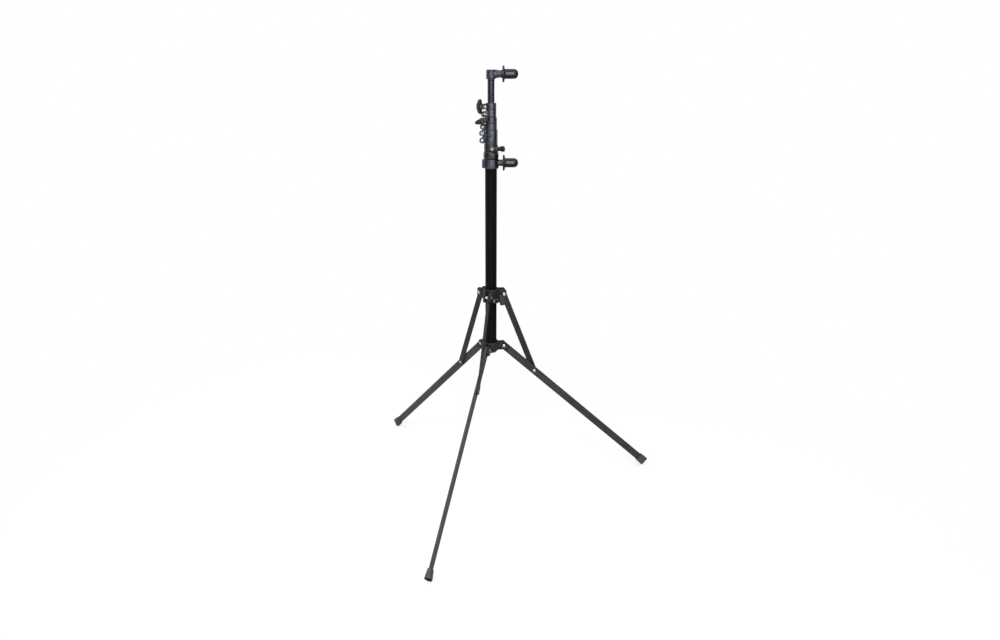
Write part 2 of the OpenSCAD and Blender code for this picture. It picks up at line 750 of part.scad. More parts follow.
// A flared rubber cap with a socket for the leg; its lower edge is cut flat by the floor
module foot(k) {
    mouth_w = leg_w + 2*foot_wall;
    mouth_h = leg_h + 2*foot_wall;
    color(rubber) difference() {
        leg_frame(k) translate([leg_len - foot_len, 0, 0]) difference() {
            intersection() {
                slab(-foot_end_w, foot_end_w)
                    polygon([[0, -mouth_h/2], [foot_len, -foot_end_h/2],
                        [foot_len, foot_end_h/2], [0, mouth_h/2]]);
                translate([0, 0, -foot_end_h]) linear_extrude(2*foot_end_h)
                    polygon([[0, -mouth_w/2], [foot_len, -foot_end_w/2],
                        [foot_len, foot_end_w/2], [0, mouth_w/2]]);
            }
            leg_bar(-1, foot_len - foot_sole, leg_w + 2*seat_fit, leg_h + 2*seat_fit, leg_edge_r);
        }
        translate([-2*leg_len, -2*leg_len, -4*foot_end_h])
            cube([4*leg_len, 4*leg_len, 4*foot_end_h]);
    }
}

// The rivet that joins a strut to its leg, fixed in the leg
module leg_strut_rivet(k) {
    end_t = strut_outside + fork_gap;
    color(steel) leg_frame(k) {
        pin(joint_reach, 0, -leg_w/2 - head_bite, end_t + head_bite, strut_rivet_r);
        tangent_head(joint_reach, 0, -leg_w/2, -1);
        tangent_head(joint_reach, 0, end_t, 1);
    }
}

// A flat bar with round ends, from the leg's joint up to the leg collar
module strut(k) {
    lean = atan2(joint_x - hinge_r, strut_z - joint_z);
    strut_len = norm([joint_x - hinge_r, strut_z - joint_z]);
    color(leg_paint) rotate([0, 0, leg_azimuths[k]])
        slab(strut_side, strut_outside) translate([joint_x, joint_z]) rotate([0, 0, lean])
            difference() {
                union() {
                    circle(strut_w/2);
                    translate([0, strut_len]) circle(strut_w/2);
                    translate([-strut_w/2, 0]) square([strut_w, strut_len]);
                }
                circle(strut_rivet_r + run_fit);
                translate([0, strut_len]) circle(strut_rivet_r + run_fit);
            }
}

module leg_right() { leg(0); }
module leg_left() { leg(1); }
module leg_front() { leg(2); }
module foot_right() { foot(0); }
module foot_left() { foot(1); }
module foot_front() { foot(2); }
module strut_right() { strut(0); }
module strut_left() { strut(1); }
module strut_front() { strut(2); }
module leg_strut_rivet_right() { leg_strut_rivet(0); }
module leg_strut_rivet_left() { leg_strut_rivet(1); }
module leg_strut_rivet_front() { leg_strut_rivet(2); }

// ---------- pegs ----------

// A peg on the X axis: a flange at x = 0 and a bullet with a round end
module peg(x, z) {
    arc = [for (a = [0 : 10 : 90])
        [peg_r - peg_end_r + peg_end_r*cos(a), peg_len - peg_end_r + peg_end_r*sin(a)]];
    color(black_plastic) translate([x, 0, z]) rotate([0, 90, 0]) difference() {
        rotate_extrude() polygon(concat([[0, 0], [flange_r, 0], [flange_r, flange_rim],
            [peg_r + flange_bevel, flange_root], [peg_r, flange_root + flange_bevel]],
            arc, [[0, peg_len]]));
        translate([0, 0, -1]) cylinder(r = core_r + seat_fit, h = core_depth + 1);
    }
}

module peg_core(x0, x1, z) {
    color(steel) translate([x0, 0, z]) rotate([0, 90, 0]) cylinder(r = core_r, h = x1 - x0);
}

// Splits at the side away from the peg and turns on the outer tube
module peg_collar() {
    mid_z = peg_collar_z + peg_collar_h/2;
    color(grey_casting) difference() {
        union() {
            translate([0, 0, peg_collar_z]) cylinder(r = peg_collar_r, h = peg_collar_h);
            translate([0, 0, low_peg_z]) rotate([0, 90, 0])
                cylinder(r = peg_neck_r, h = peg_neck_reach);
            translate([-peg_lug_reach, -peg_lug_half, mid_z - peg_lug_h/2])
                cube([peg_lug_reach, 2*peg_lug_half, peg_lug_h]);
        }
        translate([0, 0, peg_collar_z - 1])
            cylinder(r = tube_r(5) + run_fit, h = peg_collar_h + 2);
        saw_cut(180, peg_lug_reach, peg_collar_z - 1, peg_collar_z + peg_collar_h + 1);
        pin(-peg_collar_r, mid_z, peg_screw_floor - peg_lug_half, 2*peg_lug_half,
            fixing_screw_r + seat_fit);
        translate([tube_r(5) + core_floor, 0, low_peg_z]) rotate([0, 90, 0])
            cylinder(r = core_r + seat_fit, h = peg_neck_reach);
    }
}

// A cap screw from the back of the lug; it stops short of the front
module peg_collar_screw() {
    shank = 2*peg_lug_half - peg_screw_floor - face_gap;
    color(steel) translate([-peg_collar_r, peg_lug_half, peg_collar_z + peg_collar_h/2])
        rotate([-90, 0, 0]) {
            translate([0, 0, -shank]) cylinder(r = fixing_screw_r, h = shank + head_bite);
            dome(fixing_head_r, fixing_head_h);
        }
}

module lower_peg() {
    peg(peg_neck_reach, low_peg_z);
}

module lower_peg_core() {
    peg_core(tube_r(5) + core_floor + face_gap, peg_neck_reach + core_depth - face_gap, low_peg_z);
}

// ---------- top adapter ----------

// Upright, with both ends bevelled
module barrel() {
    rotate_extrude() polygon([[0, 0], [barrel_r - barrel_bevel, 0], [barrel_r, barrel_bevel],
        [barrel_r, barrel_h - barrel_bevel], [barrel_r - barrel_bevel, barrel_h], [0, barrel_h]]);
}

module top_adapter() {
    color(grey_casting) difference() {
        union() {
            translate([0, 0, adapter_z]) barrel();
            translate([0, 0, top_peg_z]) rotate([0, 90, 0])
                cylinder(r = stub_r, h = barrel_r + stub_len);
        }
        translate([0, 0, adapter_z - 1]) cylinder(r = tube_r(1) + run_fit, h = socket_depth + 1);
        translate([tube_r(1) + face_gap, 0, top_peg_z]) rotate([0, 90, 0])
            cylinder(r = core_r + seat_fit, h = 2*barrel_r);
        rotate([0, 0, set_screw_az]) translate([0, 0, adapter_z + socket_depth/2]) rotate([0, 90, 0])
            cylinder(r = set_screw_r + seat_fit, h = barrel_r);
    }
}

// Stands in the barrel's wall, just clear of the tube and of the outer face
module set_screw() {
    color(steel) rotate([0, 0, set_screw_az])
        translate([tube_r(1) + face_gap, 0, adapter_z + socket_depth/2]) rotate([0, 90, 0])
            cylinder(r = set_screw_r, h = barrel_r - tube_r(1) - 3*face_gap);
}

module upper_spool() {
    color(grey_casting) translate([barrel_r + stub_len, 0, top_peg_z]) rotate([0, 90, 0])
        difference() {
            rotate_extrude() polygon([[0, 0], [spool_r, 0], [spool_waist_r, spool_len/3],
                [spool_waist_r, spool_len*2/3], [spool_r, spool_len], [0, spool_len]]);
            translate([0, 0, -1]) cylinder(r = core_r + seat_fit, h = spool_len + 2);
        }
}

module upper_peg() {
    peg(barrel_r + stub_len + spool_len, top_peg_z);
}

module upper_peg_core() {
    peg_core(tube_r(1) + 2*face_gap, barrel_r + stub_len + spool_len + core_depth - face_gap,
        top_peg_z);
}

// ---------- nodes of the clamps ----------

module clamp_4_body() { clamp_body(4); }
module clamp_4_fixing_screw() { flush_screw(); }
module clamp_4_dome_nut() { clamp_nut(4); }
module clamp_4_knob() { clamp_knob(4); }
module clamp_4_stud() { clamp_stud(4); }
module clamp_3_body() { clamp_body(3); }
module clamp_3_fixing_screw() { fixing_screw(3); }
module clamp_3_dome_nut() { clamp_nut(3); }
module clamp_3_knob() { clamp_knob(3); }
module clamp_3_stud() { clamp_stud(3); }
module clamp_2_body() { clamp_body(2); }
module clamp_2_fixing_screw() { fixing_screw(2); }
module clamp_2_dome_nut() { clamp_nut(2); }
module clamp_2_knob() { clamp_knob(2); }
module clamp_2_stud() { clamp_stud(2); }
module clamp_1_body() { clamp_body(1); }
module clamp_1_fixing_screw() { fixing_screw(1); }
module clamp_1_dome_nut() { clamp_nut(1); }
module clamp_1_knob() { clamp_knob(1); }
module clamp_1_stud() { clamp_stud(1); }

outer_tube();
base_collar();
base_plug();
leg_hinge_rivets();
clamp_4_body();
clamp_4_fixing_screw();
clamp_4_dome_nut();
clamp_4_knob();
clamp_4_stud();
tube_4();
guide_sleeve_4();
clamp_3_body();
clamp_3_fixing_screw();
clamp_3_dome_nut();
clamp_3_knob();
clamp_3_stud();
tube_3();
guide_sleeve_3();
clamp_2_body();
clamp_2_fixing_screw();
clamp_2_dome_nut();
clamp_2_knob();
clamp_2_stud();
tube_2();
guide_sleeve_2();
clamp_1_body();
clamp_1_fixing_screw();
clamp_1_dome_nut();
clamp_1_knob();
clamp_1_stud();
tube_1();
guide_sleeve_1();
top_adapter();
set_screw();
upper_spool();
upper_peg();
upper_peg_core();
peg_collar();
peg_collar_screw();
lower_peg();
lower_peg_core();
leg_collar();
leg_collar_nut();
leg_collar_knob();
leg_collar_stud();
strut_top_rivets();
strut_spacers();
leg_right();
leg_left();
leg_front();
foot_right();
foot_left();
foot_front();
strut_right();
strut_left();
strut_front();
leg_strut_rivet_right();
leg_strut_rivet_left();
leg_strut_rivet_front();
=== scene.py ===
import bpy, bmesh, json, math
from mathutils import Matrix, Vector


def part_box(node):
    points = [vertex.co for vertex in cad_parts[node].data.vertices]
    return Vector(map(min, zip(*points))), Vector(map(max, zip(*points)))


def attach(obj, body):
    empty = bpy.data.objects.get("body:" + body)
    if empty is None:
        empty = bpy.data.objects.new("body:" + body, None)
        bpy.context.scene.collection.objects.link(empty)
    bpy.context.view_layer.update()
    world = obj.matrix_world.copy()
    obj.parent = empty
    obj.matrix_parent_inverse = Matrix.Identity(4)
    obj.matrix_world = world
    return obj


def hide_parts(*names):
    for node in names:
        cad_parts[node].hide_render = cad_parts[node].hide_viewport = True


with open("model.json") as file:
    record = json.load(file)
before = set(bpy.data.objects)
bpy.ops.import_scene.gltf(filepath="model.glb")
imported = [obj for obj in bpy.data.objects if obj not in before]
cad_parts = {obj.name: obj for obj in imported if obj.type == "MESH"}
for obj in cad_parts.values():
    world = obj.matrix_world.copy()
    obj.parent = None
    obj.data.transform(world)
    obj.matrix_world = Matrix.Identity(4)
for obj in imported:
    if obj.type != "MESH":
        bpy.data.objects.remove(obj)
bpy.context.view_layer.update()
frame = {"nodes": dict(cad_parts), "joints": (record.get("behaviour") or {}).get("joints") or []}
nodes = frame["nodes"]
joints = {joint["name"]: joint for joint in frame["joints"]}


# ---------- camera ----------
# A 26 mm lens at about the height of the top peg looks down at the stand from 1.5 m.
eye_distance, eye_height, eye_tilt = 1.4918, 0.9062, 0.33
eye = bpy.data.objects.new("camera", bpy.data.cameras.new("camera"))
bpy.context.scene.collection.objects.link(eye)
eye.data.sensor_width = 36
eye.data.lens = 26.31
eye.data.shift_x = 0.009
eye.data.clip_end = 50
eye.location = (0, -eye_distance, eye_height)
eye.rotation_euler = (math.pi/2 - eye_tilt, 0, 0)
bpy.context.scene.camera = eye
bpy.context.scene.view_settings.view_transform = "Standard"


# ---------- studio ----------
# A wide pale floor takes the soft shadows and runs out to white, in a dim room. Tall soft boxes
# give the column its two streaks of light, a wide fill brightens the left leg, a narrow strip
# runs along the pegs, the ceiling glows, and two boxes light the back.
floor_radius, floor_shift, floor_drop = 14, 4, 0.0005
floor_grey, floor_lift = 0.42, 0.60
white_from, white_at = 0.35, 1.1
room_light, mirrored_backdrop = 0.05, 0.06


def emptied(owner):
    owner.use_nodes = True
    owner.node_tree.nodes.clear()
    return owner


def wire(material, start, end):
    material.node_tree.links.new(start, end)


floor_mesh = bmesh.new()
bmesh.ops.create_circle(floor_mesh, cap_ends=True, segments=96, radius=floor_radius)
bmesh.ops.translate(floor_mesh, verts=floor_mesh.verts, vec=(0, floor_shift, -floor_drop))
floor = bpy.data.objects.new("floor", bpy.data.meshes.new("floor"))
floor_mesh.to_mesh(floor.data)
floor_mesh.free()
bpy.context.scene.collection.objects.link(floor)

pale = emptied(bpy.data.materials.new("pale_floor"))
add = pale.node_tree.nodes.new
out = add("ShaderNodeOutputMaterial")
mix = add("ShaderNodeMixShader")
surface = add("ShaderNodeBsdfDiffuse")
surface.inputs["Color"].default_value = (floor_grey, floor_grey, floor_grey, 1)
glow = add("ShaderNodeEmission")
lift = add("ShaderNodeEmission")
paper = add("ShaderNodeAddShader")
where = add("ShaderNodeTexCoord")
reach = add("ShaderNodeVectorMath")
reach.operation = "LENGTH"
fade = add("ShaderNodeMapRange")
fade.interpolation_type = "SMOOTHSTEP"
fade.inputs["From Min"].default_value = white_from
fade.inputs["From Max"].default_value = white_at
rays = add("ShaderNodeLightPath")
both = add("ShaderNodeMath")
both.operation = "MULTIPLY"
faint = add("ShaderNodeMath")
faint.operation = "MULTIPLY"
faint.inputs[1].default_value = floor_lift
wire(pale, where.outputs["Object"], reach.inputs[0])
wire(pale, reach.outputs["Value"], fade.inputs["Value"])
wire(pale, fade.outputs["Result"], both.inputs[0])
wire(pale, rays.outputs["Is Camera Ray"], both.inputs[1])
wire(pale, both.outputs[0], mix.inputs[0])
wire(pale, rays.outputs["Is Camera Ray"], faint.inputs[0])
wire(pale, faint.outputs[0], lift.inputs["Strength"])
wire(pale, surface.outputs[0], paper.inputs[0])
wire(pale, lift.outputs[0], paper.inputs[1])
wire(pale, paper.outputs[0], mix.inputs[1])
wire(pale, glow.outputs[0], mix.inputs[2])
wire(pale, mix.outputs[0], out.inputs["Surface"])
floor.data.materials.append(pale)

world = emptied(bpy.data.worlds.new("studio"))
bpy.context.scene.world = world
add = world.node_tree.nodes.new
out = add("ShaderNodeOutputWorld")
mix = add("ShaderNodeMixShader")
room = add("ShaderNodeBackground")
room.inputs["Color"].default_value = (0.93, 0.96, 1, 1)
room.inputs["Strength"].default_value = room_light
backdrop = add("ShaderNodeBackground")
backdrop.inputs["Color"].default_value = (1, 1, 1, 1)
rays = add("ShaderNodeLightPath")
seen = add("ShaderNodeMath")
seen.operation = "MAXIMUM"
shown = add("ShaderNodeMath")
shown.operation = "MULTIPLY_ADD"
shown.inputs[1].default_value = mirrored_backdrop
wire(world, rays.outputs["Is Camera Ray"], seen.inputs[0])
wire(world, rays.outputs["Is Transmission Ray"], seen.inputs[1])
wire(world, rays.outputs["Is Glossy Ray"], shown.inputs[0])
wire(world, seen.outputs[0], shown.inputs[2])
wire(world, shown.outputs[0], mix.inputs[0])
wire(world, room.outputs[0], mix.inputs[1])
wire(world, backdrop.outputs[0], mix.inputs[2])
wire(world, mix.outputs[0], out.inputs["Surface"])


def soft_box(name, place, target, width, height, watts, mirrored=True):
    lamp = bpy.data.lights.new(name, "AREA")
    lamp.shape = "RECTANGLE"
    lamp.size = width
    lamp.size_y = height
    lamp.energy = watts
    box = bpy.data.objects.new(name, lamp)
    bpy.context.scene.collection.objects.link(box)
    box.location = place
    aim = Vector(target) - Vector(place)
    box.rotation_euler = aim.to_track_quat("-Z", "Y").to_euler()
    box.visible_glossy = mirrored


soft_box("key_box", (1.23, -1.70, 1.0), (0, 0, 0.7), 0.45, 1.8, 9)
soft_box("left_box", (-1.25, -1.75, 1.0), (0, 0, 0.6), 0.35, 1.8, 3.5)
soft_box("front_box", (0, -2.3, 2.3), (0, -0.2, 0.4), 1.2, 0.7, 9)
soft_box("left_fill", (-1.6, -1.4, 1.0), (0, 0, 0.5), 1.6, 1.8, 26, mirrored=False)
soft_box("front_strip", (0.10, -1.95, 1.15), (0.10, 0, 0.8), 0.30, 2.0, 13)
soft_box("ceiling_box", (0, -0.6, 3.0), (0, -0.6, 0), 5.0, 5.0, 90)
soft_box("rim_box_left", (-1.6, 1.0, 0.9), (0, 0, 0.5), 0.6, 1.6, 11)
soft_box("rim_box_right", (1.5, 1.25, 0.9), (0, 0, 0.5), 0.6, 1.6, 6)


# ---------- outer tube ----------
# The widest tube of the column, drawn steel under a thin coat of satin black powder paint.
# The coat has a fine orange peel, and faint rub marks run along it.
def finish(name, roughness, metallic=0.0, specular=0.5):
    material = bpy.data.materials.new(name)
    material.use_nodes = True
    shader = material.node_tree.nodes["Principled BSDF"]
    shader.inputs["Roughness"].default_value = roughness
    shader.inputs["Metallic"].default_value = metallic
    shader.inputs["Specular IOR Level"].default_value = specular
    return material, shader


def pattern(material, scale, detail=4.0, stretch=(1, 1, 1)):
    where = material.node_tree.nodes.new("ShaderNodeTexCoord")
    turn = material.node_tree.nodes.new("ShaderNodeMapping")
    turn.inputs["Scale"].default_value = stretch
    noise = material.node_tree.nodes.new("ShaderNodeTexNoise")
    noise.inputs["Scale"].default_value = scale
    noise.inputs["Detail"].default_value = detail
    wire(material, where.outputs["Object"], turn.inputs["Vector"])
    wire(material, turn.outputs["Vector"], noise.inputs["Vector"])
    return noise.outputs["Fac"]


def tones(material, driver, low, high):
    ramp = material.node_tree.nodes.new("ShaderNodeValToRGB")
    ramp.color_ramp.elements[0].position = 0.35
    ramp.color_ramp.elements[0].color = (*low, 1)
    ramp.color_ramp.elements[1].position = 0.65
    ramp.color_ramp.elements[1].color = (*high, 1)
    wire(material, driver, ramp.inputs["Fac"])
    return ramp.outputs["Color"]


def blend_colours(material, share, under, over):
    mix = material.node_tree.nodes.new("ShaderNodeMix")
    mix.data_type = "RGBA"
    wire(material, share, mix.inputs["Factor"])
    wire(material, under, mix.inputs["A"])
    mix.inputs["B"].default_value = (*over, 1)
    return mix.outputs["Result"]


def span(material, driver, low, high, start=0.3, end=0.7):
    reach = material.node_tree.nodes.new("ShaderNodeMapRange")
    reach.inputs["From Min"].default_value = start
    reach.inputs["From Max"].default_value = end
    reach.inputs["To Min"].default_value = low
    reach.inputs["To Max"].default_value = high
    wire(material, driver, reach.inputs["Value"])
    return reach.outputs["Result"]


def lay(material, shader, colour, roughness, heights):
    wire(material, colour, shader.inputs["Base Color"])
    if roughness is not None:
        wire(material, roughness, shader.inputs["Roughness"])
    previous = None
    for driver, depth, strength in heights:
        bump = material.node_tree.nodes.new("ShaderNodeBump")
        bump.inputs["Distance"].default_value = depth
        bump.inputs["Strength"].default_value = strength
        wire(material, driver, bump.inputs["Height"])
        if previous:
            wire(material, previous, bump.inputs["Normal"])
        previous = bump.outputs["Normal"]
    wire(material, previous, shader.inputs["Normal"])


tube_coat, shader = finish("satin_black_powder_coat", 0.5, specular=0.08)
cloud = pattern(tube_coat, 14)
rubs = pattern(tube_coat, 420, 3, (1, 1, 0.02))
colour = tones(tube_coat, cloud, (0.002, 0.002, 0.0022), (0.0045, 0.0045, 0.005))
colour = blend_colours(tube_coat, span(tube_coat, rubs, 0, 0.35, 0.62, 0.8), colour,
                       (0.011, 0.011, 0.012))
lay(tube_coat, shader, colour, span(tube_coat, rubs, 0.45, 0.6),
    [(pattern(tube_coat, 1400, 2), 0.00004, 0.35), (rubs, 0.00001, 0.2)])


def dress(names, material):
    for name in names:
        for slot in nodes[name].material_slots:
            slot.material = material


dress(["outer_tube"], tube_coat)


# ---------- clamp and leg castings ----------
# The clamps, the top socket and the lower peg's collar are die-cast and painted metallic graphite,
# the two collars of the legs satin black, and the lowest clamp's crowned bands black enamel. The
# paint is fine-grained, slightly cloudy in tone, and rubbed pale in places along the edges.
collar_edge, clamp_edge, band_edge = 0.0006, 0.0005, 0.0004
upper_band, band_skin, band_crown, band_loops = 0.0154, 0.0135, 0.0017, 10


def softened(node, width, segments=3):
    body = bmesh.new()
    body.from_mesh(nodes[node].data)
    bmesh.ops.remove_doubles(body, verts=body.verts, dist=1e-6)
    bmesh.ops.dissolve_limit(body, angle_limit=math.radians(1), verts=body.verts, edges=body.edges)
    sharp = [edge for edge in body.edges
             if len(edge.link_faces) == 2 and edge.calc_face_angle() > math.radians(35)]
    rubbed = body.faces.layers.float.new("rubbed")
    made = bmesh.ops.bevel(body, geom=sharp, offset=width, offset_type="OFFSET", segments=segments,
                           profile=0.5, affect="EDGES", material=-1, clamp_overlap=True)
    for face in made["faces"]:
        face[rubbed] = 1.0
    return body


def rubbed_edges(material, colour, bare, most):
    edge = material.node_tree.nodes.new("ShaderNodeAttribute")
    edge.attribute_name = "rubbed"
    share = material.node_tree.nodes.new("ShaderNodeMath")
    share.operation = "MULTIPLY"
    patches = span(material, pattern(material, 300, 5), 0, most, 0.42, 0.62)
    wire(material, edge.outputs["Fac"], share.inputs[0])
    wire(material, patches, share.inputs[1])
    return blend_colours(material, share.outputs[0], colour, bare)


def finished(body, name, material, node_names, body_name):
    mesh = bpy.data.meshes.new(name)
    body.to_mesh(mesh)
    body.free()
    for polygon in mesh.polygons:
        polygon.use_smooth = True
    mesh.set_sharp_from_angle(angle=math.radians(30))
    piece = bpy.data.objects.new(name, mesh)
    bpy.context.scene.collection.objects.link(piece)
    mesh.materials.append(material)
    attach(piece, body_name)
    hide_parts(*node_names)
    return piece


def casting_coat(name, low, high, fleck, metallic, roughness=0.30):
    coat, shader = finish(name, roughness, metallic=metallic, specular=0.4)
    cloud = pattern(coat, 60, 5)
    flecks = span(coat, pattern(coat, 3200, 3), 0, 0.5, 0.55, 0.75)
    colour = blend_colours(coat, flecks, tones(coat, cloud, low, high), fleck)
    colour = rubbed_edges(coat, colour, (0.30, 0.30, 0.31), 0.55)
    lay(coat, shader, colour, span(coat, cloud, roughness, roughness + 0.06),
        [(pattern(coat, 2400, 2), 0.00003, 0.12), (pattern(coat, 260, 2), 0.00005, 0.02)])
    return coat


casting_paint = casting_coat("graphite_casting_paint", (0.090, 0.093, 0.118), (0.112, 0.115, 0.146),
                             (0.17, 0.175, 0.20), 0.95)
black_paint = casting_coat("black_casting_paint", (0.016, 0.016, 0.017), (0.032, 0.032, 0.034),
                           (0.06, 0.06, 0.062), 0.3)
satin_paint = casting_coat("graphite_satin_paint", (0.074, 0.077, 0.098), (0.094, 0.097, 0.123),
                           (0.15, 0.155, 0.18), 0.95, 0.40)
black_enamel = casting_coat("black_clamp_enamel", (0.058, 0.058, 0.062), (0.086, 0.086, 0.092),
                            (0.13, 0.13, 0.135), 0.95, 0.28)

finished(softened("base_collar", collar_edge), "cast_base_collar", black_paint,
         ["base_collar"], "column")
finished(softened("leg_collar", collar_edge), "cast_leg_collar", black_paint,
         ["leg_collar"], "leg_collar")
for number, body_name in ((3, "section_4"), (2, "section_3"), (1, "section_2")):
    finished(softened(f"clamp_{number}_body", clamp_edge), f"cast_clamp_{number}", casting_paint,
             [f"clamp_{number}_body"], body_name)


def cut(body, spot, normal, snap):
    bmesh.ops.bisect_plane(body, geom=list(body.verts) + list(body.edges) + list(body.faces),
                           dist=snap, plane_co=spot, plane_no=normal)


def barrelled(body, bands):
    for low, high in bands:
        for step in range(band_loops + 1):
            height = (low + high)/2 - (high - low)/2*math.cos(math.pi*step/band_loops)
            cut(body, (0, 0, height), (0, 0, 1), 1e-5)
    for vert in body.verts:
        for low, high in bands:
            share = (2*vert.co.z - low - high)/(high - low)
            if abs(share) <= 1.001 and vert.co.xy.length > band_skin:
                dent = band_crown*(1 - math.sqrt(max(0, 1 - share**2)))
                vert.co.xy *= 1 - dent/vert.co.xy.length
    return body


low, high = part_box("clamp_4_body")
waist = high.z - upper_band
finished(barrelled(softened("clamp_4_body", band_edge), ((low.z, waist), (waist, high.z))),
         "cast_clamp_4", black_enamel, ["clamp_4_body"], "column")
finished(softened("peg_collar", collar_edge), "cast_peg_collar", casting_paint,
         ["peg_collar"], "lower_arm")
finished(softened("top_adapter", clamp_edge), "cast_top_socket", satin_paint,
         ["top_adapter"], "top_arm")


# ---------- rivets and spacers ----------
# Bright plated steel rivets close every hinge of the legs and struts.
# Each head is a low dome with a small flat, turned over the outside of its fork.
head_radius, head_height = 0.0035, 0.0011
leg_rivet_end, leg_rivet_radius = 0.0073, 0.0025
strut_rivet_low, strut_rivet_high, strut_rivet_radius = -0.0023, 0.0059, 0.002
sides = ("right", "left", "front")


def turned(profile, place, steps=48):
    body = bmesh.new()
    ends = [body.verts.new((radius, 0, height)) for radius, height in profile]
    edges = [body.edges.new(pair) for pair in zip(ends, ends[1:])]
    bmesh.ops.spin(body, geom=ends + edges, cent=(0, 0, 0), axis=(0, 0, 1), dvec=(0, 0, 0),
                   angle=math.tau, steps=steps, use_merge=True, use_duplicate=False)
    bmesh.ops.remove_doubles(body, verts=body.verts, dist=1e-6)
    bmesh.ops.recalc_face_normals(body, faces=body.faces)
    bmesh.ops.transform(body, matrix=place, verts=body.verts)
    return body


def joined(bodies):
    whole = bmesh.new()
    for body in bodies:
        mesh = bpy.data.meshes.new("passing")
        body.to_mesh(mesh)
        body.free()
        whole.from_mesh(mesh)
        bpy.data.meshes.remove(mesh)
    return whole


rivet_plate, shader = finish("bright_plated_rivet", 0.16, metallic=1.0)
cloud = pattern(rivet_plate, 500, 3)
lay(rivet_plate, shader, tones(rivet_plate, cloud, (0.74, 0.74, 0.75), (0.9, 0.9, 0.9)),
    span(rivet_plate, cloud, 0.12, 0.3), [(pattern(rivet_plate, 900, 4), 0.00002, 0.3)])


def rivet(joint_name, low, high, radius):
    joint = joints[joint_name]
    along = Vector((-joint["pos_m"][1], joint["pos_m"][0], 0)).normalized()
    place = Matrix.Translation(joint["pos_m"]) @ along.to_track_quat("Z", "X").to_matrix().to_4x4()
    dome = [(head_radius, 0), (head_radius, 0.25), (head_radius*0.93, 0.5),
            (head_radius*0.75, 0.78), (head_radius*0.5, 0.95), (head_radius*0.28, 1.0)]
    right = [(r, high + h*head_height) for r, h in dome] + [(0, high + head_height)]
    left = [(0, low - head_height)] + [(r, low - h*head_height) for r, h in reversed(dome)]
    return turned(left + [(radius, low), (radius, high)] + right, place)


finished(joined([rivet(f"leg_{side}_fold", -leg_rivet_end, leg_rivet_end, leg_rivet_radius)
                 for side in sides]),
         "leg_rivets", rivet_plate, ["leg_hinge_rivets"], "column")
for side in sides:
    finished(rivet(f"strut_{side}_fold", strut_rivet_low, strut_rivet_high, strut_rivet_radius),
             f"strut_rivet_{side}", rivet_plate,
             [f"leg_strut_rivet_{side}"], f"leg_{side}")
dress(["strut_top_rivets", "strut_spacers"], rivet_plate)


# ---------- legs and struts ----------
# Three legs of drawn rectangular tube are sprayed satin dark grey, three flat steel struts nearly
# black. The paint is even, with a fine grain, a little dust and paler spots on rubbed edges.
leg_edge, strut_edge = 0.0003, 0.0005


def sprayed(name, low, high, specular):
    paint, shader = finish(name, 0.36, specular=specular)
    cloud = pattern(paint, 22, 5)
    dust = span(paint, pattern(paint, 1100, 5), 0, 0.3, 0.62, 0.78)
    colour = blend_colours(paint, dust, tones(paint, cloud, low, high), (0.12, 0.12, 0.12))
    colour = rubbed_edges(paint, colour, (0.16, 0.16, 0.165), 0.6)
    lay(paint, shader, colour, span(paint, cloud, 0.32, 0.42),
        [(pattern(paint, 1500, 2), 0.00004, 0.25)])
    return paint


leg_paint = sprayed("dark_grey_leg_paint", (0.026, 0.026, 0.0275), (0.038, 0.038, 0.0395), 0.5)
strut_paint = sprayed("black_strut_paint", (0.015, 0.015, 0.016), (0.023, 0.023, 0.024), 0.34)

for side in sides:
    finished(softened(f"leg_{side}", leg_edge, 2), f"leg_tube_{side}", leg_paint,
             [f"leg_{side}"], f"leg_{side}")
    finished(softened(f"strut_{side}", strut_edge), f"strut_bar_{side}", strut_paint,
             [f"strut_{side}"], f"strut_{side}")


# ---------- feet ----------
# A flared cap of dark rubber is pushed over the end of each leg, and its lower corner rests on
# the floor. Its last few millimetres are painted near-black as painted shade on the cap's end face,
# which faces down towards the floor. Two grooves run round it, its end is rounded across the leg,
# and the rubber is dull and a little dusty.
leg_slope, cap_edge = math.radians(43.1), 0.0022
groove_places, groove_half, groove_core, groove_waist = (0.4662, 0.4702), 0.0007, 0.0045, 0.95
end_round, end_narrowing, shade_end_length = 0.0042, 0.42, 0.0035

rubber, shader = finish("dark_foot_rubber", 0.55, specular=0.45)
cloud = pattern(rubber, 90, 5)
lay(rubber, shader, tones(rubber, cloud, (0.042, 0.042, 0.045), (0.070, 0.070, 0.074)),
    span(rubber, cloud, 0.48, 0.62), [(pattern(rubber, 1300, 3), 0.00008, 0.5)])

# Painted shade: this near-black rubber colours the cap's end to stand for the shade on its end
# face.
end_shade_rubber, shader = finish("painted_shade_end_rubber", 0.75, specular=0.15)
cloud = pattern(end_shade_rubber, 300, 4)
lay(end_shade_rubber, shader,
    tones(end_shade_rubber, cloud, (0.004, 0.004, 0.004), (0.012, 0.012, 0.012)), None,
    [(pattern(end_shade_rubber, 1100, 3), 0.0001, 0.5)])

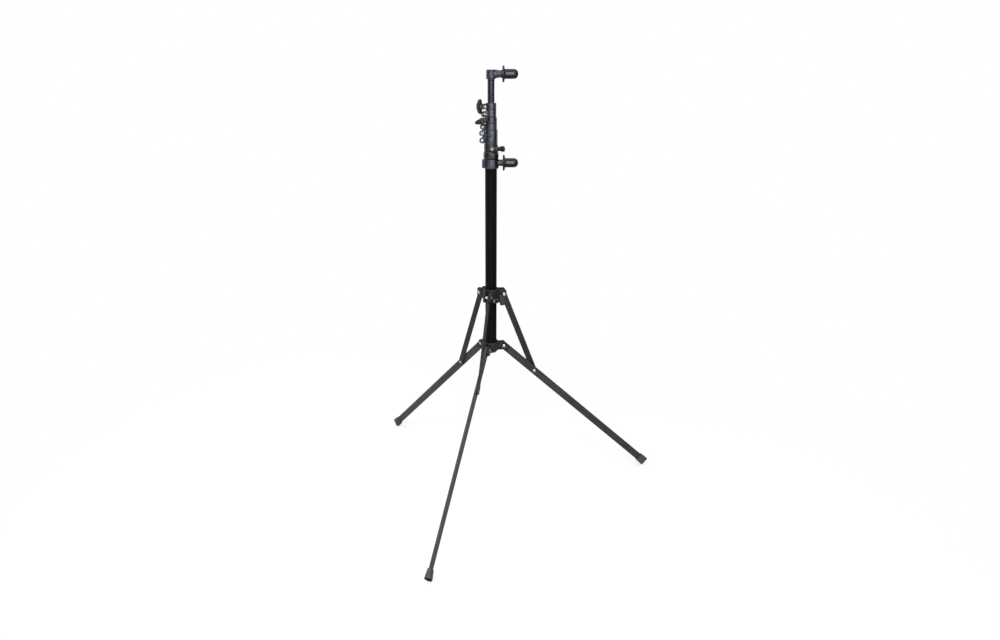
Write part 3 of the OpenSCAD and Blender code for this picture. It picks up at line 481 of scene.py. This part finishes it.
for side in sides:
    pivot = Vector(joints[f"leg_{side}_fold"]["pos_m"])
    outward = Vector((pivot.x, pivot.y, 0)).normalized()
    across = Vector((-outward.y, outward.x, 0))
    down = outward*math.cos(leg_slope) - Vector((0, 0, math.sin(leg_slope)))
    cap = softened(f"foot_{side}", cap_edge, 5)
    for groove in groove_places:
        for shift in (-groove_half, 0, groove_half):
            cut(cap, pivot + down*(groove + shift), down, 1e-6)
        centre = pivot + down*groove
        for vert in cap.verts:
            off = vert.co - centre
            if abs(off.dot(down)) < 2e-5 and off.length > groove_core:
                vert.co = centre + off*groove_waist
    tip = max((vert.co - pivot).dot(down) for vert in cap.verts)
    for left in (0.0002, 0.0006, 0.0012, 0.0020, 0.0030, end_round):
        cut(cap, pivot + down*(tip - left), down, 1e-6)
    for vert in cap.verts:
        left = tip - (vert.co - pivot).dot(down)
        if left < end_round:
            side_way = (vert.co - pivot).dot(across)
            drawn_in = 1 - math.sqrt(max(0, 1 - (1 - left/end_round)**2))
            vert.co -= across*side_way*end_narrowing*drawn_in
    # The faces beyond this cut get the painted-shade black of the cap's end face.
    shade_end_edge = pivot + down*(tip - shade_end_length)
    cut(cap, shade_end_edge, down, 1e-6)
    for face in cap.faces:
        face.material_index = int((face.calc_center_median() - shade_end_edge).dot(down) > 0)
    shoe = finished(cap, f"foot_cap_{side}", rubber, [f"foot_{side}"], f"leg_{side}")
    shoe.data.materials.append(end_shade_rubber)


# ---------- clamp screws and nuts ----------
# All are zinc-plated steel. A knob's stud ends in a dome nut with a washer face, a fixing screw is
# a cap head with a hex socket and a nut, and two headless screws sit flush in the lowest clamp
# and the top socket.
lug_face, washer_thickness = 0.004, 0.0008
cap_radius, cap_height, socket_radius, shank_radius = 0.0028, 0.0016, 0.00125, 0.0015

zinc, shader = finish("zinc_plated_steel", 0.28, metallic=1.0)
cloud = pattern(zinc, 700, 4)
lay(zinc, shader, tones(zinc, cloud, (0.56, 0.57, 0.58), (0.78, 0.78, 0.78)),
    span(zinc, cloud, 0.2, 0.38), [(pattern(zinc, 1500, 3), 0.00002, 0.3)])


def bolt_place(joint_name):
    spot = Vector(joints[joint_name]["pos_m"])
    axis = Vector(joints[joint_name]["axis"])
    radial = Vector((spot.x, spot.y, 0)).normalized()
    place = Matrix((radial, axis.cross(radial), axis)).transposed().to_4x4()
    return Matrix.Translation(spot) @ place


def hexagon(corner, low, high, place):
    body = bmesh.new()
    bmesh.ops.create_cone(body, cap_ends=True, segments=6, radius1=corner, radius2=corner,
                          depth=high - low)
    bmesh.ops.translate(body, verts=body.verts, vec=(0, 0, (low + high)/2))
    bmesh.ops.bevel(body, geom=list(body.edges), offset=0.0003, segments=2, profile=0.5,
                    affect="EDGES", material=-1, clamp_overlap=True)
    bmesh.ops.transform(body, matrix=place, verts=body.verts)
    return body


def dome_nut(joint_name, washer, corner, hex_height, dome_height, name, node, body_name):
    place = bolt_place(joint_name) @ Matrix.Rotation(math.pi, 4, "X")
    base, top = lug_face, lug_face + washer_thickness + hex_height
    ring = turned([(0.0021, base), (washer - 0.0002, base), (washer, base + 0.0002),
                   (washer, base + 0.0006), (washer - 0.0004, base + washer_thickness),
                   (0.0021, base + washer_thickness)], place)
    crown = corner*0.84
    dome = turned([(0.0021, top - 0.0004), (crown, top - 0.0004), (crown, top)]
                  + [(crown*math.cos(t), top + dome_height*math.sin(t))
                     for t in (0.3, 0.6, 0.9, 1.2)]
                  + [(0, top + dome_height)], place)
    finished(joined([ring, hexagon(corner, base + 0.0006, top, place), dome]), name, zinc,
             [node], body_name)


for number, body_name in ((4, "column"), (3, "section_4"), (2, "section_3"), (1, "section_2")):
    dome_nut(f"clamp_{number}_knob_turn", 0.0039, 0.0036, 0.0016, 0.0016,
             f"dome_nut_{number}", f"clamp_{number}_dome_nut", body_name)
dome_nut("leg_collar_knob_turn", 0.0035, 0.0035, 0.0006, 0.0008,
         "leg_collar_dome_nut", "leg_collar_nut", "leg_collar")


def six_sided(body, place, low, high, reach):
    back = place.inverted()
    for vert in body.verts:
        local = back @ vert.co
        if low < local.z < high and 0 < local.xy.length < reach:
            turn = math.fmod(math.atan2(local.y, local.x) + math.tau, math.tau/6) - math.tau/12
            local.xy *= math.cos(math.tau/12)/math.cos(turn)
            vert.co = place @ local
    return body


def across_place(node, azimuth, shift):
    low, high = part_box(node)
    axis = Vector((-math.sin(math.radians(azimuth)), math.cos(math.radians(azimuth)), 0))
    turn = axis.to_track_quat("Z", "X").to_matrix().to_4x4()
    return Matrix.Translation((low + high)/2 + axis*shift) @ turn


def cap_head(place, base, shank_end):
    top = base + cap_height
    profile = [(0, shank_end), (shank_radius - 0.0002, shank_end),
               (shank_radius, shank_end + 0.0002), (shank_radius, base),
               (cap_radius, base), (cap_radius, base + 0.3*cap_height),
               (cap_radius*0.95, base + 0.62*cap_height), (cap_radius*0.82, base + 0.86*cap_height),
               (cap_radius*0.66, base + 0.97*cap_height), (socket_radius*1.22, top),
               (socket_radius*1.12, top - 0.00005), (socket_radius, top - 0.0002),
               (socket_radius, base + 0.35*cap_height), (0, base + 0.28*cap_height)]
    return six_sided(turned(profile, place, 60), place, base + 0.3*cap_height, top - 0.0001,
                     socket_radius*1.05)


for number, azimuth, body_name in ((3, 180, "section_4"), (2, 180, "section_3"),
                                   (1, 209, "section_2")):
    place = across_place(f"clamp_{number}_fixing_screw", azimuth, 0.0002)
    screw = cap_head(place, 0.0036, -0.0056)
    nut = hexagon(cap_radius, -0.0056, -0.0036, place)
    finished(joined([screw, nut]), f"fixing_screw_{number}", zinc,
             [f"clamp_{number}_fixing_screw"], body_name)
place = across_place("peg_collar_screw", 0, 0)
low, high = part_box("peg_collar_screw")
depth = (high - low).y
finished(cap_head(place, depth/2 - cap_height, -depth/2),
         "peg_collar_cap_screw", zinc, ["peg_collar_screw"], "lower_arm")


def grub_screw(node, azimuth, start, end, name, body_name):
    low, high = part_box(node)
    z = (low.z + high.z)/2
    bottom = end - 0.55*(end - start)
    out = Vector((math.cos(math.radians(azimuth)), math.sin(math.radians(azimuth)), 0))
    place = Matrix.Translation((0, 0, z)) @ out.to_track_quat("Z", "X").to_matrix().to_4x4()
    profile = [(0, start), (0.0016, start), (0.0020, start + 0.0004), (0.0020, end - 0.0002),
               (0.0018, end), (0.0012, end), (0.0011, end - 0.0002), (0.0011, bottom),
               (0, bottom - 0.0002)]
    body = six_sided(turned(profile, place, 60), place, bottom - 0.0001, end - 0.0001, 0.00115)
    finished(body, name, zinc, [node], body_name)


grub_screw("clamp_4_fixing_screw", 110, 0.01203, 0.01512, "flush_grub_screw", "column")
grub_screw("set_screw", 135, 0.00712, 0.0088, "top_set_screw", "top_arm")
dress([f"clamp_{n}_stud" for n in (1, 2, 3, 4)]
      + ["leg_collar_stud", "upper_peg_core", "lower_peg_core"], zinc)


# ---------- T-knobs ----------
# A black nylon knob turns on each clamp's stud: a fluted hub with a plain foot, and a wing whose
# tips are swept back for the fingers. The leg collar's knob and the highest clamp's have shorter
# hubs and thicker wings.
wing_reach, wing_thickness, wing_sweep, under_sweep = 0.0145, 0.0067, 0.0046, 0.0012
side_radius, side_centre = 0.03, 0.0245
wing_stations, wing_sides, wing_squareness = 32, 24, 0.6
knob_neck, hub_flutes, flute_depth = 0.0100, 10, 0.035

nylon, shader = finish("black_nylon", 0.36, specular=0.45)
cloud = pattern(nylon, 120, 4)
lay(nylon, shader, tones(nylon, cloud, (0.009, 0.009, 0.010), (0.019, 0.019, 0.020)),
    span(nylon, cloud, 0.3, 0.46), [(pattern(nylon, 1700, 2), 0.00004, 0.3)])


def squarish(share):
    return math.copysign(abs(share)**wing_squareness, share)


def t_wing(place, foot, reach, thick, sweep):
    top = foot + thick
    rings = []
    wing = bmesh.new()
    for station in range(1, wing_stations):
        across = -math.cos(math.pi*station/wing_stations)
        x = reach*across
        half = (math.sqrt(side_radius**2 - x**2) - side_centre)*min(1, 6*(1 - abs(across)))**0.5
        crown, under = top - sweep*across**2, foot - under_sweep*across**2
        tuck = 0.5*(1 - min(1, 8*(1 - abs(across)))**0.5)*(crown - under)
        middle, tall = (crown + under)/2, (crown - under)/2 - tuck
        rings.append([])
        for step in range(wing_sides):
            angle = math.tau*(step + 0.5)/wing_sides
            rings[-1].append(wing.verts.new((x, half*squarish(math.cos(angle)),
                                             middle + tall*squarish(math.sin(angle)))))
    for one, two in zip(rings, rings[1:]):
        for step in range(wing_sides):
            after = (step + 1) % wing_sides
            wing.faces.new((one[step], one[after], two[after], two[step]))
    wing.faces.new(rings[0])
    wing.faces.new(reversed(rings[-1]))
    bmesh.ops.recalc_face_normals(wing, faces=wing.faces)
    bmesh.ops.transform(wing, matrix=place, verts=wing.verts)
    return wing


def t_hub(place, neck):
    hub = turned([(0, 0.0044), (0.0043, 0.0044), (0.0046, 0.0047), (0.0046, 0.0058),
                  (0.0043, 0.0061), (0.0042, 0.0063), (0.0037, 0.0043 + neck),
                  (0, 0.0043 + neck)], place, 60)
    centre = place.inverted()
    for vert in hub.verts:
        local = centre @ vert.co
        if local.z > 0.0060:
            angle = math.atan2(local.y, local.x)
            local.xy *= 1 - flute_depth*(1 + math.cos(hub_flutes*angle))
            vert.co = place @ local
    return hub


def t_knob(joint_name, turn, name, node, body_name, neck,
           reach=wing_reach, thick=wing_thickness, sweep=wing_sweep):
    place = bolt_place(joint_name) @ Matrix.Rotation(math.radians(turn), 4, "Z")
    wing = t_wing(place, lug_face + neck, reach, thick, sweep)
    finished(joined([wing, t_hub(place, neck)]), name, nylon, [node], body_name)


for number, turn, neck, thick in (
        (4, 0, knob_neck, wing_thickness), (3, 90, knob_neck, wing_thickness),
        (2, 15, knob_neck, wing_thickness), (1, 90, 0.0054, 0.0088)):
    t_knob(f"clamp_{number}_knob_turn", turn, f"knob_{number}_wing", f"clamp_{number}_knob",
           f"knob_{number}", neck, thick=thick)
t_knob("leg_collar_knob_turn", 40, "collar_knob_wing", "leg_collar_knob", "collar_knob",
       0.0040, 0.0128, 0.0120, 0.0024)


# ---------- inner tubes and guide sleeves ----------
# Four thinner tubes nest in the outer one, each on a black plastic sleeve. Three are black like
# it. The thinnest is anodised graphite, drawn lengthwise and slightly blue. A plastic plug closes
# the foot of the outer tube.
anodised, shader = finish("graphite_anodised_tube", 0.28, metallic=0.95, specular=0.4)
draw = pattern(anodised, 900, 3, (1, 1, 0.01))
cloud = pattern(anodised, 25, 3)
colour = tones(anodised, cloud, (0.041, 0.043, 0.058), (0.056, 0.059, 0.078))
colour = blend_colours(anodised, span(anodised, draw, 0, 0.15), colour, (0.12, 0.125, 0.15))
lay(anodised, shader, colour, span(anodised, draw, 0.22, 0.30), [(draw, 0.00001, 0.15)])
dress(["tube_1"], anodised)
dress(["tube_2", "tube_3", "tube_4"], tube_coat)

sleeve_plastic, shader = finish("black_sleeve_plastic", 0.5)
cloud = pattern(sleeve_plastic, 200, 4)
lay(sleeve_plastic, shader,
    tones(sleeve_plastic, cloud, (0.006, 0.006, 0.006), (0.016, 0.016, 0.016)), None,
    [(pattern(sleeve_plastic, 1500, 2), 0.00004, 0.4)])
dress([f"guide_sleeve_{n}" for n in (1, 2, 3, 4)] + ["base_plug"], sleeve_plastic)


# ---------- pegs and spool ----------
# Two glossy black moulded pegs with a flange take the things that the stand holds up.
# The upper one is held off the top socket by a waisted graphite spool.
gloss, shader = finish("glossy_black_peg", 0.12, specular=0.42)
cloud = pattern(gloss, 40, 4)
lay(gloss, shader, tones(gloss, cloud, (0.004, 0.004, 0.007), (0.008, 0.008, 0.013)),
    span(gloss, cloud, 0.16, 0.22), [(pattern(gloss, 22, 1), 0.00005, 0.03)])


def along_x(node):
    low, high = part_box(node)
    middle = Matrix.Translation((low.x, 0, (low.z + high.z)/2))
    return middle @ Matrix.Rotation(math.pi/2, 4, "Y")


peg_profile = [
    (0, 0), (0.0146, 0), (0.0152, 0.0003), (0.0155, 0.0009), (0.0155, 0.0026), (0.0152, 0.0033),
    (0.0146, 0.0036), (0.0125, 0.0038), (0.0106, 0.0041), (0.0097, 0.0046), (0.0092, 0.0053),
    (0.0091, 0.0060), (0.0091, 0.0066), (0.0091, 0.0140), (0.0091, 0.0216), (0.0091, 0.0223)]
peg_profile += [(0.0005 + 0.0086*math.cos(t/12*math.pi/2), 0.0223 + 0.0084*math.sin(t/12*math.pi/2))
                for t in range(1, 12)]
peg_profile += [(0.0004, 0.0307), (0, 0.0307)]
for node, body_name in (("upper_peg", "top_arm"), ("lower_peg", "lower_arm")):
    finished(turned(peg_profile, along_x(node), 96), f"{node}_moulding", gloss,
             [node], body_name)

spool_profile = [
    (0, 0), (0.0073, 0), (0.0076, 0.0003), (0.0076, 0.0014), (0.0072, 0.0026), (0.0068, 0.0038),
    (0.0066, 0.0050), (0.0066, 0.0057), (0.0068, 0.0069), (0.0072, 0.0081), (0.0076, 0.0093),
    (0.0076, 0.0104), (0.0073, 0.0107), (0, 0.0107)]
finished(turned(spool_profile, along_x("upper_spool"), 64), "waisted_spool", satin_paint,
         ["upper_spool"], "top_arm")
